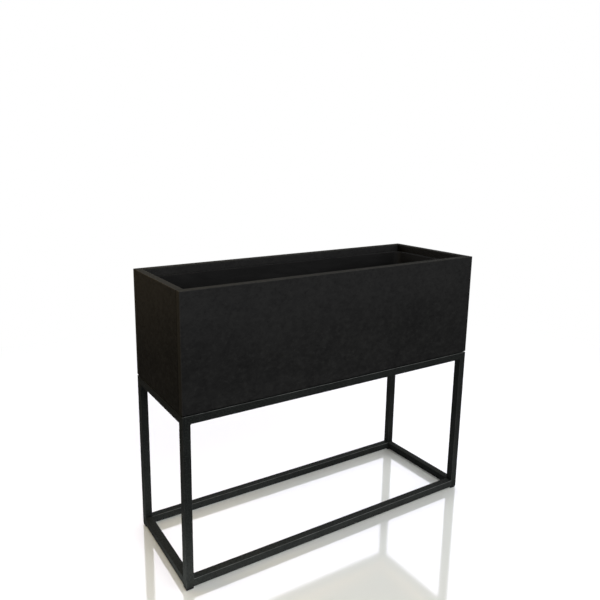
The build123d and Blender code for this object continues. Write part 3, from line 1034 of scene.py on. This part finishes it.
def screw_stance(points):
    """Head's middle, direction from the point to the head, length and the two radii of a screw."""
    low = Vector([min(point[axis] for point in points) for axis in range(3)])
    high = Vector([max(point[axis] for point in points) for axis in range(3)])
    size = high - low
    axis = max(range(3), key=lambda index: size[index])
    across = [index for index in range(3) if index != axis]
    middle = (low + high) / 2

    def radius_at(level):
        return max([math.hypot(*(point[index] - middle[index] for index in across))
                    for point in points if abs(point[axis] - level) < 2 * TOUCH], default=0.0)

    head_up = radius_at(high[axis]) > radius_at(low[axis])
    head = middle.copy()
    head[axis] = high[axis] if head_up else low[axis]
    direction = Vector((0, 0, 0))
    direction[axis] = 1.0 if head_up else -1.0
    point_base = head - direction * (size[axis] - SCREW_POINT)
    return head, direction, size[axis], radius_at(head[axis]), radius_at(point_base[axis])


def screw_tree(zinc):
    """A countersunk, cross-recessed wood screw at each seed point, its head facing along "facing"."""
    sizes = {"Length": 40 * MM, "Head": 3.8 * MM, "Shank": 1.9 * MM, "Point": SCREW_POINT,
             "Recess": SCREW_RECESS, "Recess Depth": SCREW_RECESS_DEPTH}
    wires, source = new_tree("wood_screws", sizes)

    def by_point(*values):
        """A value for each point of the screw's middle line, from the head to the tip."""
        switch = wires.add("GeometryNodeIndexSwitch", {"data_type": "FLOAT"})
        for _ in values[2:]:
            switch.index_switch_items.new()
        wires.join(switch.inputs["Index"], wires.made("GeometryNodeInputIndex"))
        for key, value in enumerate(values):
            wires.join(switch.inputs[str(key)], value)
        return switch.outputs[0]

    flare = wires.minus(source["Head"], source["Shank"])
    level = by_point(0.0, wires.times(flare, -1.0), wires.minus(source["Point"], source["Length"]),
                     wires.times(source["Length"], -1.0))
    thick = by_point(source["Head"], source["Shank"], source["Shank"], SCREW_TIP)
    line = wires.made("GeometryNodeMeshLine", {"mode": "OFFSET"}, {"Count": 4})
    line = wires.made("GeometryNodeSetPosition", None, {"Geometry": line, "Position": wires.vector(z=level)})
    line = wires.made("GeometryNodeStoreNamedAttribute", {"data_type": "FLOAT", "domain": "POINT"},
                      {"Geometry": line, "Name": "thick", "Value": thick})
    path = wires.made("GeometryNodeMeshToCurve", None, {"Mesh": line})
    circle = wires.made("GeometryNodeCurvePrimitiveCircle", None, {"Resolution": SCREW_STEPS, "Radius": 1.0})
    body = wires.swept(path, circle, wires.stored("thick", "FLOAT"))
    reach = wires.times(source["Head"], SCREW_RECESS_REACH)
    depth = wires.times(source["Recess Depth"], 2.0)

    def arm(length, width):
        return wires.made("GeometryNodeMeshCube", None, {"Size": wires.vector(length, width, depth)})

    cut = wires.cut(body, arm(reach, source["Recess"]), arm(source["Recess"], reach))
    facing = wires.aligned("Z", wires.stored("facing", "FLOAT_VECTOR"))
    return finish_tree(wires, wires.repeated(source["Geometry"], cut, {"Rotation": facing}), zinc)


def make_screws(zinc):
    tree = screw_tree(zinc)
    for node in ("cleat_screws", "floor_screws", "block_screws"):
        stances = [screw_stance(points) for points in islands(node)]
        seed = plain_mesh("screw_points", [stance[0] for stance in stances])
        facing = seed.attributes.new("facing", "FLOAT_VECTOR", "POINT")
        for mark, stance in zip(facing.data, stances):
            mark.vector = stance[1]
        _, _, length, head, shank = stances[0]
        mesh = grown(tree, {"Length": length, "Head": head, "Shank": shank}, seed)
        smooth_by_angle(mesh, 35)
        piece = add_object(f"{node}_zinc", mesh, zinc, "box")
        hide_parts(node)


# ---- studio
def seen_directly(wires):
    """1 for what the camera sees, also in gloss or through glass; 0 for light that spreads."""
    ray = wires.add("ShaderNodeLightPath").outputs
    return wires.larger(wires.larger(ray["Is Camera Ray"], ray["Is Glossy Ray"]), ray["Is Transmission Ray"])


def spilled_light(wires, place):
    """How brightly the floor lights the planter from below, and how far a spot is from the planter."""
    x, y, _ = wires.split(place)
    beyond_x = wires.larger(wires.minus(wires.math("ABSOLUTE", x), HALF_LENGTH), 0.0)
    beyond_y = wires.larger(wires.minus(wires.math("ABSOLUTE", y), HALF_DEPTH), 0.0)
    apart = wires.hypot(beyond_x, beyond_y)
    left_spill = wires.times(wires.fade(apart, 0.16, 0.08), wires.fade(y, -0.1, 0.1, 4.2, 1.15))
    open_spill = wires.times(wires.fade(apart, 0.5, 0.3), wires.fade(x, 0.1, -0.1, 1.13, 1.35))
    open_floor = wires.mix(wires.fade(x, -0.44, -0.46), open_spill, left_spill)
    shaded = wires.fade(x, 0.1, -0.1, 0.13, 0.67)
    return wires.mix(wires.fade(apart, 0.0, 0.03), shaded, open_floor), apart


def make_ground():
    """Polished pale floor round the planter that turns plain white further out."""
    reach = FLOOR_REACH
    corners = [(-reach, -reach, 0), (reach, -reach, 0), (reach, reach, 0), (-reach, reach, 0)]
    mesh = plain_mesh("studio_floor", corners, [], [(0, 1, 2, 3)])
    floor = placed("studio_floor", mesh)
    material = bpy.data.materials.new("studio_floor")
    material.use_nodes = True
    tree = material.node_tree
    tree.nodes.remove(tree.nodes["Principled BSDF"])
    wires = Wires(tree)

    def glow(strength):
        return wires.made("ShaderNodeEmission", None, {"Color": WHITE, "Strength": strength})

    lift, apart = spilled_light(wires, wires.coordinates("Object"))
    matt = wires.made("ShaderNodeBsdfDiffuse", None, {"Color": FLOOR_MATT})
    gloss = wires.made("ShaderNodeBsdfAnisotropic", None,
                       {"Color": FLOOR_GLOSS, "Roughness": FLOOR_ROUGHNESS})
    polished = wires.made("ShaderNodeAddShader", None, {0: matt, 1: gloss})
    shown = wires.made("ShaderNodeMixShader", None,
                       {0: wires.fade(apart, 0.6, 1.8), 1: polished, 2: glow(1.0)})
    total = wires.made("ShaderNodeMixShader", None, {0: seen_directly(wires), 1: glow(lift), 2: shown})
    wires.join(tree.nodes["Material Output"].inputs["Surface"], total)
    mesh.materials.append(material)


def light_studio():
    """White surround that lights from the front, the upper front right, the back and the right,
    with a key panel high in front and a small warm one close to the left end."""
    world = bpy.data.worlds.new("studio")
    bpy.context.scene.world = world
    world.use_nodes = True
    wires = Wires(world.node_tree)
    heading = wires.coordinates("Generated")

    level = TENT_LEVEL
    for axis, strength in GLOWS.values():
        towards = wires.add("ShaderNodeVectorMath", {"operation": "DOT_PRODUCT"},
                            {0: heading, 1: tuple(Vector(axis).normalized())}).outputs["Value"]
        level = wires.plus(level, wires.fade(towards, *GLOW_SPREAD, 0.0, strength))
    tent = wires.blend(wires.fade(wires.split(heading)["Z"], 0.0, 0.9), TENT_LOW, TENT_HIGH)
    tent = wires.made("ShaderNodeVectorMath", {"operation": "SCALE"}, {0: tent, "Scale": level})
    white = wires.blend(seen_directly(wires), tent, WHITE)
    wires.join(world.node_tree.nodes["Background"].inputs["Color"], white)

    def panel(name, place, aim, size, power, colour=(1, 1, 1)):
        data = bpy.data.lights.new(name, "AREA")
        data.color = colour
        data.shape = "RECTANGLE"
        data.size, data.size_y = size
        data.energy = power
        lamp = placed(name, data)
        lamp.location = place
        lamp.rotation_euler = (Vector(aim) - Vector(place)).to_track_quat("-Z", "Y").to_euler()

    panel("key", place=(-0.6, -2.6, 2.6), aim=(0, 0, 0.5), size=(1.6, 1.2), power=26)
    panel("warm", place=(-1.0, 0.1, 1.05), aim=(-0.45, 0, 0.7), size=(0.3, 0.3), power=2.2,
          colour=(1.0, 0.73, 0.36))


# ---- assembly
def paint(material, *nodes):
    """A CAD node that stays shown takes this material."""
    for node in nodes:
        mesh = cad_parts[node].data
        mesh.materials.clear()
        mesh.materials.append(material)


bpy.context.scene.view_settings.view_transform = "Standard"
aim_camera()
light_studio()
make_ground()

board = dyed_board()
coat = powder_coat()
make_walls(board)
make_legs(coat)
make_rails(coat)
make_welds(coat)
liner_plastic = moulded_plastic("liner_plastic", LINER_TONE)
make_liner(liner_plastic)
make_ribs(liner_plastic)
make_screws(zinc_steel())

corner_names = [f"{face}_{end}" for face in FACES for end in SIDES]
long_battens = planed_wood("batten_wood_x", True, *SOFTWOOD_TONES)
short_battens = planed_wood("batten_wood_y", False, *SOFTWOOD_TONES)
paint(long_battens, "cleat_front", "cleat_rear")
paint(short_battens, "cleat_left", "cleat_right")
paint(long_battens, *(f"locating_block_{corner}" for corner in corner_names))
paint(planed_wood("dowel_wood", True, *DOWEL_TONES), "corner_dowels")
paint(moulded_plastic("foot_plastic", FOOT_TONE), *(f"foot_{corner}" for corner in corner_names))
rubber_black = rubber()
make_bung(rubber_black)
paint(rubber_black, "rest_pads")
paint(board, "floor_board")
